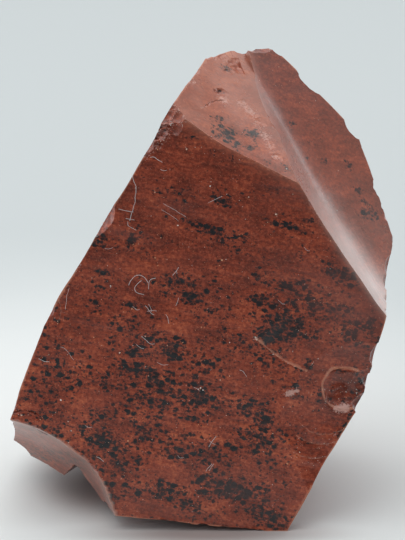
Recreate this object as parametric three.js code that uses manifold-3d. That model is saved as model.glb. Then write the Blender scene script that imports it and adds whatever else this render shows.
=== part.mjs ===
// A rough piece of mahogany obsidian, red-brown volcanic glass with black specks.
// One solid, in millimetres, +Z up. The origin is the middle of the stone's footprint,
// on the surface that it rests on, and the broad flat face looks along -Y.
//
// Glass breaks along smooth curved surfaces, so the stone is what is left of a block after
// every fracture scar and every small chip has been taken out of it.

import * as THREE from "three";
import { mergeVertices } from "three/addons/utils/BufferGeometryUtils.js";
import Module from "manifold-3d";

// Driving dimensions of the block before any scar is cut.
const WIDTH = 60;
const DEPTH = 50;
const HEIGHT = 64;
const BLOCK_BELOW = 2; // how far the block reaches below the resting flat

// Mesh sizes.
const SCAR_STEP = 2.4; // grid spacing on a scar
const SCAR_REACH = 42; // how far a scar runs from its middle, where nothing stops it sooner
const SCOOP_REACH = 18; // the same, for the deep scoop under the left corner
const FLAKE_REACH = 14; // the same, for the shallow flake on the front face
const SCAR_LIFT = 40; // how far a cutter stands out from the scar's middle
const CHIP_DETAIL = 3; // icosahedron subdivisions of a chip
const WELD = 1e-4; // corners closer than this are one corner

// Finish.
const STONE_COLOUR = 0x6e3a30;
const STONE_ROUGHNESS = 0.25;

// Every scar is a surface through the point `at`, whose outward side faces a heading and an
// elevation in degrees: heading 0 looks along -Y, 90 along +X. `along` is the direction on the
// surface in which u is counted, and v runs across it. A scar with neither `bowl` nor `trough`
// is flat. `bowl` gives the curvatures along u and v in 1/mm, hollow where they are above 0.
// `trough` gives two walls of the same slope that meet in a round bed, as in scarHeight.
// `stops` limits u or v where an older scar keeps its own surface.
const FRONT_LEAN = 10;
const SCARS = [
  { name: "front face", at: [0.5, -13.9, 28], faces: [0, FRONT_LEAN], along: [0, 0, 1] },
  {
    name: "sloping top face",
    at: [4.4, -9.9, 48.9],
    faces: [50.5, 56],
    along: [-0.3, 0.81, 0.51],
    bowl: [-0.004, 0.02],
    stops: { v: [-8.2, SCAR_REACH] },
  },
  {
    name: "long trough",
    at: [19, -4.6, 35.9],
    faces: [66, 39],
    along: [-0.54, 0.32, 0.78],
    trough: { slope: 0.4, width: 4, taper: -0.13, bend: 0.0133, fade: 0.029, fadeFrom: 15.5 },
  },
  {
    name: "left side, upper",
    at: [-4.7, -4.7, 50.9],
    faces: [-104.5, 20],
    along: [0.25, 0.97, 0],
    trough: { slope: 0.165, width: 2 },
  },
  { name: "left side, middle", at: [-17.3, -13.2, 32], faces: [-102, 28.5], along: [0, 1, 0] },
  {
    name: "left side, lower",
    at: [-21.3, -6.5, 19.4],
    faces: [-100, 18],
    along: [0, 1, 0],
    bowl: [0.005, 0],
  },
  { name: "crushed corner", at: [-2.3, -9.5, 53], faces: [-27, 33], along: [0, 1, 1] },
  {
    name: "scoop under the left corner",
    at: [-13.7, -15.4, 5.9],
    faces: [-63, -25.5],
    along: [0.56, -0.27, -0.78],
    bowl: [0.066, 0.03],
    stops: { u: [-SCOOP_REACH, SCOOP_REACH], v: [-SCOOP_REACH, SCOOP_REACH] },
  },
  { name: "underside, front", at: [9.1, -18.8, -0.1], faces: [-42, -81], along: [1, 0, 0] },
  { name: "underside, left", at: [-20.4, -5.3, 3.1], faces: [-112, -69], along: [0, 1, 0] },
  {
    name: "notch under the scoop",
    at: [-14.6, -11.2, 3.2],
    faces: [-98, -42],
    along: [0.31, 0.94, -0.2],
    stops: { v: [-3.4, SCAR_REACH] },
  },
  {
    name: "right side, lower",
    at: [14.9, -17.5, 7.3],
    faces: [91, -29.6],
    along: [0, 0, 1],
    bowl: [0.008, 0],
  },
  { name: "right side, knee", at: [19.3, -16.1, 15.4], faces: [90, -23], along: [0, 0, 1] },
  {
    name: "shallow flake on the front face",
    at: [17.2, -15.9, 13.1],
    faces: [3, 11],
    along: [0, 0, 1],
    bowl: [0.013, 0.013],
    stops: { u: [-FLAKE_REACH, FLAKE_REACH], v: [-FLAKE_REACH, FLAKE_REACH] },
  },
  { name: "right side, middle", at: [23, -14.4, 25], faces: [88, -15], along: [0, 0, 1] },
  { name: "right end of the trough", at: [23.9, -13.7, 28.9], faces: [89, -18], along: [0, 0, 1] },
  { name: "resting flat", at: [0, 0, 0], faces: [0, -90], along: [1, 0, 0] },
  { name: "back, upper", at: [13.9, 10.3, 51.5], faces: [150, 15], along: [0, 0, 1] },
  {
    name: "back, right",
    at: [23.4, 3.4, 38.4],
    faces: [119, 1],
    along: [0.4, -0.4, -1],
    bowl: [0.003, 0.004],
  },
  { name: "crest", at: [7.4, 11.2, 56.3], faces: [-161, 52], along: [1, 0, 0] },
  { name: "back of the top face", at: [2, 7.1, 57], faces: [-133, 39], along: [0, 0, 1] },
  {
    name: "back, lower",
    at: [4.1, 13.3, 20],
    faces: [168, -9],
    along: [0, 0, 1],
    bowl: [0.006, 0.01],
  },
  {
    name: "back, left",
    at: [-11.9, 7.2, 30],
    faces: [-144, 8],
    along: [0, 0, 1],
    bowl: [0.006, 0.008],
  },
  {
    name: "foot, right",
    at: [12.1, 7.2, 8],
    faces: [137, -34],
    along: [0, 0, 1],
    bowl: [0.01, 0.01],
  },
  {
    name: "foot, left",
    at: [-16.9, 7.2, 4],
    faces: [-135, -50],
    along: [0, 0, 1],
    bowl: [0.01, 0.01],
  },
];

// Chips are round scoops out of an edge: `radius` is the bite's at the surface.
const CHIPS = [
  { name: "front face, right", at: [18, -15.5, 18.5], faces: [12, 8], radius: 3.7, depth: 1.1 },
  { name: "front face, left", at: [-12, -11.3, 41], faces: [-55, 15], radius: 2, depth: 0.6 },
  { name: "end of the trough", at: [24.85, -4.4, 31.15], faces: [80, 5], radius: 3.4, depth: 1 },
  { name: "rim, upper", at: [9.7, 11.6, 55.3], faces: [150, 45], radius: 1, depth: 0.3 },
  { name: "rim, middle", at: [13.9, 10.2, 51.3], faces: [140, 30], radius: 1.5, depth: 0.3 },
  { name: "rim, lower", at: [20.1, 8.3, 45.8], faces: [140, 25], radius: 1.7, depth: 0.6 },
  { name: "crest notch", at: [5.3, 10, 56.4], faces: [170, 70], radius: 1.2, depth: 0.5 },
  { name: "left of the back", at: [-21.3, 4.3, 15], faces: [-122, 12], radius: 3, depth: 0.9 },
  { name: "ridge down the back", at: [0.9, 16.1, 32], faces: [-168, 2], radius: 3.4, depth: 0.9 },
];

const DEG = Math.PI / 180;
const wasm = await Module();
wasm.setup();

// The solid of a closed geometry.
function solidOf(geometry) {
  const bare = geometry.clone();
  bare.deleteAttribute("normal");
  bare.deleteAttribute("uv");
  const merged = mergeVertices(bare, WELD);
  const vertProperties = new Float32Array(merged.attributes.position.array);
  const triVerts = new Uint32Array(merged.index.array);
  return new wasm.Manifold(new wasm.Mesh({ numProp: 3, vertProperties, triVerts }));
}

// The geometry of a solid.
function geometryOf(solid) {
  const { vertProperties, triVerts } = solid.getMesh();
  const geometry = new THREE.BufferGeometry();
  geometry.setAttribute("position", new THREE.BufferAttribute(vertProperties, 3));
  geometry.setIndex(new THREE.BufferAttribute(triVerts, 1));
  const faceted = geometry.toNonIndexed();
  faceted.computeVertexNormals();
  return faceted;
}

// The direction of a heading and an elevation.
function direction([heading, elevation]) {
  const level = Math.cos(elevation * DEG);
  const x = Math.sin(heading * DEG) * level;
  const y = -Math.cos(heading * DEG) * level;
  return new THREE.Vector3(x, y, Math.sin(elevation * DEG));
}

// A scar's own frame: x runs along it, y across it and z out of the stone.
function scarFrame({ at, faces, along }) {
  const out = direction(faces);
  const u = new THREE.Vector3(...along).projectOnPlane(out).normalize();
  const v = new THREE.Vector3().crossVectors(out, u);
  return new THREE.Matrix4().makeBasis(u, v, out).setPosition(...at);
}

// How far the scar's surface stands out at (u, v). A bowl is a paraboloid. A trough is a
// hyperbola across a bent line, so its bed and its wall are nearly flat and meet in a round
// bend, which gets tighter along the trough by its taper. Beyond `fadeFrom` the near wall
// fades into a flat shoulder.
function scarHeight({ bowl = [0, 0], trough }, u, v) {
  if (!trough) return (bowl[0] * u * u + bowl[1] * v * v) / 2;
  const { slope, width, taper = 0, bend = 0, fade = 0, fadeFrom = 0 } = trough;
  const across = v + (bend * u * u) / 2;
  const walls = slope * (Math.hypot(across, width + taper * u) - width);
  return walls - fade * Math.max(u - fadeFrom, 0) * Math.max(across, 0);
}

// The block outside a scar: a box whose lower side is pushed onto the scar's surface.
function scarCutter(scar) {
  const reach = [-SCAR_REACH, SCAR_REACH];
  const { u: [uLow, uHigh] = reach, v: [vLow, vHigh] = reach } = scar.stops ?? {};
  const length = uHigh - uLow;
  const breadth = vHigh - vLow;
  const uSteps = Math.round(length / SCAR_STEP);
  const vSteps = Math.round(breadth / SCAR_STEP);
  const box = new THREE.BoxGeometry(length, breadth, SCAR_LIFT, uSteps, vSteps, 1);
  box.translate((uLow + uHigh) / 2, (vLow + vHigh) / 2, SCAR_LIFT / 2);
  const place = box.attributes.position;
  for (let i = 0; i < place.count; i++) {
    const onTop = place.getZ(i) > SCAR_LIFT / 2;
    if (!onTop) place.setZ(i, scarHeight(scar, place.getX(i), place.getY(i)));
  }
  return solidOf(box.applyMatrix4(scarFrame(scar)));
}

// The ball that takes a chip out: its cap below the surface has the chip's radius and depth.
function chipCutter({ at, faces, radius, depth }) {
  const ball = (radius ** 2 + depth ** 2) / (2 * depth);
  const middle = new THREE.Vector3(...at).addScaledVector(direction(faces), ball - depth);
  return solidOf(new THREE.IcosahedronGeometry(ball, CHIP_DETAIL).translate(...middle));
}

function stoneSolid() {
  const block = new THREE.BoxGeometry(WIDTH, DEPTH, HEIGHT);
  block.translate(0, 0, HEIGHT / 2 - BLOCK_BELOW);
  const cutters = [...SCARS.map(scarCutter), ...CHIPS.map(chipCutter)];
  return cutters.reduce((stone, cutter) => stone.subtract(cutter), solidOf(block));
}

const material = new THREE.MeshStandardMaterial({
  color: STONE_COLOUR,
  roughness: STONE_ROUGHNESS,
  metalness: 0,
  flatShading: true,
});
const stone = new THREE.Mesh(geometryOf(stoneSolid()), material);
stone.name = "stone";

const specimen = new THREE.Group();
specimen.add(stone);

export default specimen;
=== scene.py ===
# A rough piece of mahogany obsidian: red-brown volcanic glass with black specks. The stone is
# what is left of a block after every fracture scar and every chip is taken out of it, and
# lint fibres and dust grains lie on it. Lengths are in millimetres up to the finished meshes,
# which are in metres.

from collections import namedtuple

import bmesh
import bpy
import numpy as np
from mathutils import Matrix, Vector


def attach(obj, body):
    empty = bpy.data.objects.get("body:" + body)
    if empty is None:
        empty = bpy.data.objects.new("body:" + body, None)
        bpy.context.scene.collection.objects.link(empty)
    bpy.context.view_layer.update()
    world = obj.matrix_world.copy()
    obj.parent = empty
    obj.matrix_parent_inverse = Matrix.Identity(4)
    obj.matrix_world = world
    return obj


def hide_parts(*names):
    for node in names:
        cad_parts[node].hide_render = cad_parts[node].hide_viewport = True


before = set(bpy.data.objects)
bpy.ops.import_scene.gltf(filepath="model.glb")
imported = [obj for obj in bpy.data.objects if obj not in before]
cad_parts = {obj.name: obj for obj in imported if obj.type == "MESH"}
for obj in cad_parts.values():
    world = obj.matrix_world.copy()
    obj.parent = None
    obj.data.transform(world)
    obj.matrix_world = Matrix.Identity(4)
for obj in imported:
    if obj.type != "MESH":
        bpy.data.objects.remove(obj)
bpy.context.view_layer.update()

MM = 0.001

# ------------------------------------------------------------------------------------------
# The stone's shape
# ------------------------------------------------------------------------------------------

# The block before any scar is cut, and how far the front face leans back, in degrees.
BLOCK_LOW = (-30.0, -25.0, -2.0)
BLOCK_HIGH = (30.0, 25.0, 62.0)
FRONT_LEAN = 10.0
# How far a scar reaches from its middle, how far the scoop and the flake do, and how thick the
# solid is that cuts a scar.
REACH = 42.0
SCOOP_STOPS = (-18.0, 18.0)
FLAKE_STOPS = (-14.0, 14.0)
LIFT = 40.0

# Every scar is a surface through the point `at`, whose outward side faces a heading and an
# elevation in degrees: heading 0 looks along -Y, 90 along +X. u is counted up the surface, or
# in the direction `along`, and v runs across it. `bowl` gives curvatures along u and v in
# 1/mm, `trough` two walls that meet in a round bed, and `stops` limits u or v. `step` is the
# grid spacing within `fine` of the middle. `waves` is the height of the broad undulation.
# `strike` is the place (u, v) where the blow fell, and ripples of the height `ripples` run
# round it. A `hackly` scar is crushed into ribs.
SCARS = {
    "front face": dict(
        at=(0.5, -13.9, 28), faces=(0, FRONT_LEAN), step=0.4, fine=31, waves=0.03, ripples=0,
    ),
    "sloping top face": dict(
        at=(4.4, -9.9, 48.9), faces=(50.5, 56), along=(-0.3, 0.81, 0.51),
        bowl=(-0.004, 0.02), stops=dict(v=(-8.2, REACH)), step=0.4, fine=16,
    ),
    "long trough": dict(
        at=(19, -4.6, 35.9), faces=(66, 39), along=(-0.54, 0.32, 0.78), step=0.4,
        trough=dict(slope=0.4, width=4, taper=-0.13, bend=0.0133, fade=0.029, fade_from=15.5),
        fine=27, waves=0.05, ripples=0.012,
    ),
    "left side, upper": dict(
        at=(-4.7, -4.7, 50.9), faces=(-104.5, 20), along=(0.25, 0.97, 0),
        trough=dict(slope=0.165, width=2), fine=22,
    ),
    "left side, middle": dict(at=(-17.3, -13.2, 32), faces=(-102, 28.5), along=(0, 1, 0), fine=20),
    "left side, lower": dict(
        at=(-21.3, -6.5, 19.4), faces=(-100, 18), along=(0, 1, 0), bowl=(0.005, 0), fine=24,
        ripples=0.06,
    ),
    "crushed corner": dict(
        at=(-2.3, -9.5, 53), faces=(-27, 33), along=(0, 1, 1), step=0.25, fine=8, hackly=True,
    ),
    "scoop under the left corner": dict(
        at=(-13.7, -15.4, 5.9), faces=(-63, -25.5), along=(0.56, -0.27, -0.78),
        bowl=(0.066, 0.03), stops=dict(u=SCOOP_STOPS, v=SCOOP_STOPS), step=0.35,
    ),
    "underside, front": dict(at=(9.1, -18.8, -0.1), faces=(-42, -81), along=(1, 0, 0), fine=24),
    "underside, left": dict(at=(-20.4, -5.3, 3.1), faces=(-112, -69), along=(0, 1, 0), fine=22),
    "notch under the scoop": dict(
        at=(-14.6, -11.2, 3.2), faces=(-98, -42), along=(0.31, 0.94, -0.2),
        stops=dict(v=(-3.4, REACH)), fine=16,
    ),
    "right side, lower": dict(at=(14.9, -17.5, 7.3), faces=(91, -29.6), bowl=(0.008, 0), fine=22),
    "right side, knee": dict(at=(20.0, -16.1, 15.4), faces=(90, -23), fine=18),
    "shallow flake on the front face": dict(
        at=(17.2, -15.9, 13.1), faces=(3, 11), bowl=(0.013, 0.013),
        stops=dict(u=FLAKE_STOPS, v=FLAKE_STOPS), step=0.3,
    ),
    "right side, middle": dict(at=(23.65, -14.4, 25), faces=(88, -15), fine=20),
    "right end of the trough": dict(at=(23.6, -13.7, 28), faces=(89, -15.3), fine=20),
    "back, upper": dict(at=(13.9, 10.3, 51.5), faces=(150, 15), waves=0.05),
    "back, right": dict(
        at=(23.4, 3.4, 38.4), faces=(119, 1), along=(0.4, -0.4, -1), bowl=(0.003, 0.004),
    ),
    "crest": dict(at=(7.4, 11.2, 56.3), faces=(-161, 52), along=(1, 0, 0), fine=14, waves=0.04),
    "back of the top face": dict(at=(2, 7.1, 57), faces=(-133, 39), fine=22, waves=0.04),
    "back, lower": dict(
        at=(4.1, 13.3, 20), faces=(168, -9), bowl=(0.006, 0.01), fine=32, ripples=0.08,
        strike=(-14, 6),
    ),
    "back, left": dict(
        at=(-11.9, 7.2, 30), faces=(-144, 8), bowl=(0.006, 0.008), fine=32, ripples=0.09,
        strike=(16, 10),
    ),
    "foot, right": dict(at=(12.1, 7.2, 8), faces=(137, -34), bowl=(0.01, 0.01)),
    "foot, left": dict(at=(-16.9, 7.2, 4), faces=(-135, -50), bowl=(0.01, 0.01)),
    "resting flat": dict(
        at=(0, 0, 0), faces=(0, -90), along=(1, 0, 0), waves=0, ripples=0, fine=0,
    ),
}
# What a scar has where it says nothing else: the grid's spacing near its middle and beyond,
# where the near part ends, the height of its waves and ripples, and where the blow fell.
SCAR_STEP = 0.55
COARSE = 3.0
FINE = 26.0
WAVES = 0.09
RIPPLES = 0.035
STRIKE = (-30, 12)
# The lengths of the broad waves, of the small ones on them and of the ripples, and the share of
# the broad waves' height that the small ones have.
WAVE_LENGTH = 9
SMALL_WAVE_LENGTH = 1.6
SMALL_WAVES = 0.12
RIPPLE_LENGTH = 1.7
# The crushed corner: how far apart its ribs are, and how high its ribs and crumbs stand.
RIB_SPACING = 1.15
RIB_HEIGHT = 0.24
CRUMB_HEIGHT = 0.09
# How many plane waves an undulation is made of.
PLANE_WAVES = 14


def direction(heading, elevation):
    """The unit vector of a heading and an elevation in degrees."""
    h, e = np.radians((heading, elevation))
    return np.array((np.sin(h) * np.cos(e), -np.cos(h) * np.cos(e), np.sin(e)))


def scar_axes(scar):
    """The scar's unit vectors: u along it, v across it and n out of the stone."""
    n = direction(*scar["faces"])
    along = np.array(scar.get("along", (0, 0, 1)), float)
    u = along - n * (along @ n)
    u /= np.linalg.norm(u)
    return u, np.cross(n, u), n


def on_axes(scar, places):
    """How far the places are from the scar's middle along its u, v and n."""
    off = places - np.array(scar["at"], float)
    return [off @ axis for axis in scar_axes(scar)]


def scar_height(scar, u, v):
    """How far the scar stands out at (u, v). A bowl is a paraboloid. A trough is a hyperbola
    across a bent line, and past `fade_from` its near wall fades into a flat shoulder."""
    if "trough" not in scar:
        bend_u, bend_v = scar.get("bowl", (0, 0))
        return (bend_u * u**2 + bend_v * v**2) / 2
    trough = scar["trough"]
    width = trough["width"] + trough.get("taper", 0) * u
    across = v + trough.get("bend", 0) * u**2 / 2
    walls = trough["slope"] * (np.hypot(across, width) - width)
    shoulder = np.maximum(u - trough.get("fade_from", 0), 0) * np.maximum(across, 0)
    return walls - trough.get("fade", 0) * shoulder


def undulation(u, v, wavelength, seed):
    """A smooth random surface with heights near -1 to 1: a sum of plane waves whose headings
    and phases are random and whose lengths are near the one given."""
    rng = np.random.default_rng(seed)
    heading = rng.uniform(0, 2 * np.pi, PLANE_WAVES)
    number = 2 * np.pi / (wavelength * rng.uniform(0.7, 1.4, PLANE_WAVES))
    phase = rng.uniform(0, 2 * np.pi, PLANE_WAVES)
    total = np.zeros(np.broadcast(u, v).shape)
    for h, k, p in zip(heading, number, phase):
        total += np.sin(k * (u * np.cos(h) + v * np.sin(h)) + p)
    return total / np.sqrt(PLANE_WAVES)


def slab(places, lift):
    """A closed solid between a grid of points, which is its under side, and the grid's rim
    moved along `lift`, which is its flat top. Returns its points, its four-sided faces and its
    top face."""
    rows, columns = places.shape[:2]
    index = np.arange(rows * columns).reshape(rows, columns)
    quads = np.stack(
        (index[:-1, :-1], index[:-1, 1:], index[1:, 1:], index[1:, :-1]), -1
    ).reshape(-1, 4)
    rim = np.concatenate((index[:-1, 0], index[-1, :-1], index[:0:-1, -1], index[0, :0:-1]))
    top = rows * columns + np.arange(len(rim))
    sides = np.stack((rim, np.roll(rim, -1), np.roll(top, -1), top), -1)
    points = places.reshape(-1, 3)
    points = np.concatenate((points, points[rim] + lift))
    return points, np.concatenate((quads, sides)), top[None]


def joined_mesh(name, solids):
    """One mesh that holds all the solids: each is its points and then its faces, in arrays
    whose rows have the same number of corners."""
    points, faces, start = [], [], 0
    for own, *tables in solids:
        points.append(own)
        for table in tables:
            faces += (table + start).tolist()
        start += len(own)
    mesh = bpy.data.meshes.new(name)
    mesh.from_pydata(np.concatenate(points).tolist(), [], faces)
    return mesh


def scar_relief(scar, u, v, seed):
    """What the fracture leaves on the scar: a broad undulation, and ripples round the point of
    the blow that widen with distance and come and go."""
    waves = scar.get("waves", WAVES)
    relief = waves * undulation(u, v, WAVE_LENGTH, seed)
    relief += SMALL_WAVES * waves * undulation(u, v, SMALL_WAVE_LENGTH, seed + 1)
    strike_u, strike_v = scar.get("strike", STRIKE)
    far = np.hypot(u - strike_u, v - strike_v) + 0.8 * undulation(u, v, 11, seed + 2)
    turns = 2 * np.pi * (np.maximum(far, 0) / RIPPLE_LENGTH) ** 0.8
    patches = np.clip(0.35 + 0.6 * undulation(u, v, 8, seed + 3), 0, 1)
    ripples = scar.get("ripples", RIPPLES) * patches
    return relief + ripples * (np.sin(turns) + 0.3 * np.sin(2 * turns))


def hackles(u, v):
    """The crushed corner's ribs: ridges side by side that wander and fork, where every ridge
    is one minus the absolute value of a sine, with coarse crumbs on top."""
    wander = 1.1 * undulation(u, v, 3.5, 71)
    ribs = 1 - 2 * np.abs(np.sin(np.pi * (u / RIB_SPACING + wander)))
    return RIB_HEIGHT * ribs + CRUMB_HEIGHT * undulation(u, v, 0.9, 72)


def grid_lines(low, high, fine, step):
    """Places from low to high: `step` apart within `fine` of 0, and COARSE apart beyond."""
    near_low, near_high = max(low, -fine), min(high, fine)
    near = np.linspace(near_low, near_high, int((near_high - near_low) / step) + 1)
    before = np.arange(low, near_low - COARSE / 2, COARSE)
    after = np.arange(high, near_high + COARSE / 2, -COARSE)[::-1]
    return np.concatenate((before, near, after))


def scar_surface(name, u, v):
    """The height of a scar at (u, v), with its relief and, if it is crushed, its ribs."""
    scar = SCARS[name]
    height = scar_height(scar, u, v) + scar_relief(scar, u, v, 10 * list(SCARS).index(name))
    return height + hackles(u, v) if scar.get("hackly") else height


def scar_slab(name):
    """The solid that cuts a scar: a grid of points on the scar's surface, LIFT thick."""
    scar = SCARS[name]
    u_axis, v_axis, n = scar_axes(scar)
    step, fine = scar.get("step", SCAR_STEP), scar.get("fine", FINE)
    stops = [scar.get("stops", {}).get(axis, (-REACH, REACH)) for axis in "uv"]
    lines = [grid_lines(low, high, fine, step) for low, high in stops]
    u, v = (run[..., None] for run in np.meshgrid(*lines, indexing="ij"))
    height = scar_surface(name, u, v)
    return slab(np.array(scar["at"], float) + u * u_axis + v * v_axis + height * n, n * LIFT)


# A chip is a small bowl: the place on its rim's plane and the direction out of the stone, the
# bite's radius there, its depth, how ragged its outline is and how pale its edge is, as wear and
# painted highlight.
Chip = namedtuple("Chip", "at out radius depth rough glow")
CHIP_ROUGH = 0.06
CHIP_GLOW = 0.42


def chip(at, faces, radius, depth, rough=CHIP_ROUGH, glow=CHIP_GLOW):
    """A chip that faces a heading and an elevation."""
    return Chip(np.array(at, float), direction(*faces), radius, depth, rough, glow)


CHIPS = {
    "front face, right, upper": chip((17.8, -14.85, 19.3), (4, -4), 2.2, 0.9, glow=0.3),
    "front face, right, lower": chip((17.3, -15.1, 17.5), (14, 20), 2.0, 0.75, glow=0.3),
    "front face, right, end": chip((19.6, -14.85, 18.9), (36, 4), 1.6, 0.55, glow=0.3),
    "front face, right, rib": chip((18.7, -15.1, 16.9), (20, 38), 1.3, 0.45),
    "lip over the chip": chip((21.9, -14.6, 22.3), (75, 10), 1.2, 0.4),
    "notch by the chip": chip((21.35, -14.0, 19.2), (80, -10), 1.1, 0.75),
    "lip under the chip": chip((20.3, -14.9, 16.2), (75, 0), 1.3, 1.0),
    "bruise, left": chip((11.2, -15.65, 18.05), (0, 14), 0.42, 0.14, rough=0.3),
    "bruise, right": chip((12.0, -15.6, 18.35), (10, 20), 0.6, 0.13, rough=0.3),
    "white fleck at the step": chip((6.8, -14.4, 25.2), (0, 20), 0.25, 0.1),
    "fleck on the flake": chip((17.2, -16.05, 12.5), (0, 30), 0.3, 0.1),
    "front face, left": chip((-12, -11.3, 41), (-55, 15), 2, 0.6),
    "pit on the top face": chip((1.95, -0.2, 54.15), (75, 30), 0.8, 0.4, rough=0.3),
    "crack, near": chip((2.3, -2.0, 53.5), (40, 70), 0.5, 0.1, rough=0.5),
    "crack, far": chip((3.2, -0.9, 53.35), (70, 60), 0.6, 0.1, rough=0.5),
    "rough patch, top": chip((2.7, 6.9, 56.5), (40, 66), 1.0, 0.08, rough=0.7),
    "rough patch, middle": chip((3.3, 6.2, 56.05), (60, 50), 1.1, 0.09, rough=0.7),
    "rough patch, low": chip((3.6, 5.0, 55.5), (30, 60), 0.8, 0.1, rough=0.6),
    "crushed, first": chip((5.1, -0.6, 52.6), (55, 60), 0.55, 0.06, rough=0.25),
    "crushed, second": chip((6.2, -1.6, 51.7), (45, 54), 0.72, 0.06, rough=0.25),
    "crushed, third": chip((7.2, -3.2, 50.6), (58, 58), 0.66, 0.06, rough=0.25),
    "crushed, fourth": chip((8.0, -4.9, 49.5), (48, 55), 0.72, 0.06, rough=0.25),
    "crushed, fifth": chip((8.7, -6.5, 48.5), (55, 58), 0.61, 0.06, rough=0.25),
    "crushed, last": chip((9.4, -7.9, 47.5), (50, 56), 0.5, 0.06, rough=0.25),
    "end of the trough": chip((24.85, -4.4, 31.15), (80, 5), 3.4, 1),
    "rim, upper": chip((9.7, 11.6, 55.3), (150, 45), 1, 0.3),
    "rim, middle": chip((13.9, 10.2, 51.3), (140, 30), 1.5, 0.3),
    "rim, lower": chip((20.1, 8.3, 45.8), (140, 25), 1.7, 0.6),
    "crest notch": chip((5.3, 10, 56.4), (170, 70), 1.2, 0.5),
    "foot of the left corner": chip((-24.8, -5.2, 5.7), (-90, -40), 3, 0.8),
    "flat of the crest": chip((8.6, 10.2, 56.9), (30, 78), 2.6, 0.45),
    "left of the back": chip((-21.3, 4.3, 15), (-122, 12), 3, 0.9),
    "ridge down the back": chip((0.9, 16.1, 32), (-168, 2), 3.4, 0.9),
}
# A chip's grid spacing at most, how far its grid reaches, in radii, and how thick the solid is
# that cuts it, in radii.
CHIP_STEP = 0.13
CHIP_SPREAD = 1.8
CHIP_TOP = 3
# How far apart two chips are that can be cut out together, in the sum of their radii.
CLEAR_RADII = 2.7
# The small chips that fall along the edges: how many, their middle radius, the least and the
# most, how ragged they are, and the least angle in degrees of an edge that takes one. Those with
# a y below NICK_FRONT have at most the radius FRONT_NICK_RADIUS.
NICKS = 170
NICK_RADIUS = 0.5
NICK_RADII = (0.2, 1.8)
NICK_ROUGH = 0.15
ARRIS_ANGLE = 28
NICK_FRONT = -8
FRONT_NICK_RADIUS = 0.8

# Lines cut into one scar: the path, how far to its left and right the groove reaches, how deep
# it is, and how pale its edge is, as wear and painted highlight, and how far that spreads. A point
# of a path on the front face is (x, z).
FLAKE = "shallow flake on the front face"
GROOVES = {
    # The step's pale line is a painted highlight where the step catches the light.
    "step on the front face": dict(
        scar="front face", left=6.0, right=0.2, depth=0.12, glow=1.0,
        path=((6.8, 25.2), (8.4, 24.0), (9.5, 23.0), (10.5, 22.4), (11.3, 21.9), (12.8, 21.3),
              (14.2, 20.5), (15.4, 19.6)),
    ),
    "arc at the left corner": dict(
        scar="front face", left=0.12, right=0.5, depth=0.3, glow=0.2,
        path=((-24.9, 15.2), (-24.2, 15.7), (-22.8, 15.9), (-21.6, 15.5), (-20.6, 14.8)),
    ),
    "line up the left edge": dict(
        scar="front face", left=1.2, right=0.1, depth=0.05,
        path=((-18.7, 31.4), (-18.2, 30.0), (-18.0, 28.6), (-18.6, 26.8)),
    ),
    "flake ripple, upper": dict(
        scar=FLAKE, left=0.15, right=0.9, depth=0.08,
        path=((12.6, 14.2), (13.6, 13.1), (15.2, 12.5), (17.0, 12.6), (18.6, 13.4)),
    ),
    "flake ripple, middle": dict(
        scar=FLAKE, left=0.15, right=0.9, depth=0.07,
        path=((12.0, 12.6), (13.6, 11.6), (15.4, 11.2), (17.4, 11.6)),
    ),
    "flake ripple, lower": dict(
        scar=FLAKE, left=0.15, right=1.2, depth=0.05,
        path=((11.4, 10.6), (13.0, 9.7), (14.8, 9.4), (16.4, 9.8)),
    ),
    # The right chip's pale rim and foot: pale crushing with a painted highlight.
    "rim of the right chip": dict(
        scar=FLAKE, left=0.5, right=0.12, depth=0.16, glow=1.0, spread=0.28,
        path=((20.1, 20.9), (18.9, 21.3), (17.6, 21.2), (16.6, 21.3), (16.0, 20.3), (15.5, 19.3),
              (15.6, 18.2), (15.9, 17.3)),
    ),
    "foot of the right chip": dict(
        scar=FLAKE, left=0.12, right=0.6, depth=0.14, glow=1.0, spread=0.28,
        path=((15.9, 17.3), (16.6, 16.4), (17.6, 15.9), (18.8, 15.7), (19.6, 16.1)),
    ),
    "crack on the top face": dict(
        scar="sloping top face", left=0.12, right=0.3, depth=0.14,
        path=((-0.2, -5.5, 53.1), (0.5, -4.2, 53.3), (1.1, -2.9, 53.4), (2.2, -1.8, 53.4),
              (3.5, -0.9, 53.2)),
    ),
}
# A groove's spacing along its path and across it, in shares of its reach, how far its rim
# clears the scar, how thick the solid is that cuts it, and how much its path wanders.
GROOVE_STEP = 0.16
GROOVE_SIDES = np.array((-1.5, -1, -0.7, -0.45, -0.25, -0.1, 0, 0.1, 0.25, 0.45, 0.7, 1, 1.5))
GROOVE_CLEAR = 0.015
GROOVE_TOP = 1.2
GROOVE_WANDER = 0.05


def on_scar(name, places):
    """The places moved straight onto the scar's surface, with its relief."""
    scar = SCARS[name]
    u, v, out = on_axes(scar, places)
    return places + (scar_surface(name, u, v) - out)[..., None] * scar_axes(scar)[2]


def front_places(flat):
    """The places on the plane of the front face with these (x, z)."""
    x, z = np.asarray(flat, float).T
    middle = SCARS["front face"]["at"]
    lean = np.tan(np.radians(FRONT_LEAN))
    return np.stack((x, middle[1] + (z - middle[2]) * lean, z), 1)


CORNER_CUTS = 4


def smooth_path(points, step):
    """A smooth path along the points, with places `step` apart. CORNER_CUTS times over, every
    corner is replaced by the places a quarter of the way along its two sides."""
    path = np.asarray(points, float)
    for _ in range(CORNER_CUTS):
        early = path[:-1] * 0.75 + path[1:] * 0.25
        late = path[:-1] * 0.25 + path[1:] * 0.75
        corners = np.stack((early, late), 1).reshape(-1, path.shape[1])
        path = np.concatenate((path[:1], corners, path[-1:]))
    run = np.append(0, np.cumsum(np.linalg.norm(np.diff(path, axis=0), axis=1)))
    marks = np.linspace(0, run[-1], max(int(run[-1] / step), 4) + 1)
    return np.stack([np.interp(marks, run, column) for column in path.T], 1)


def groove_line(groove):
    """The groove's path as places GROOVE_STEP apart."""
    points = groove["path"]
    if len(points[0]) == 2:
        points = front_places(points)
    return smooth_path(points, GROOVE_STEP)


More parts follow.
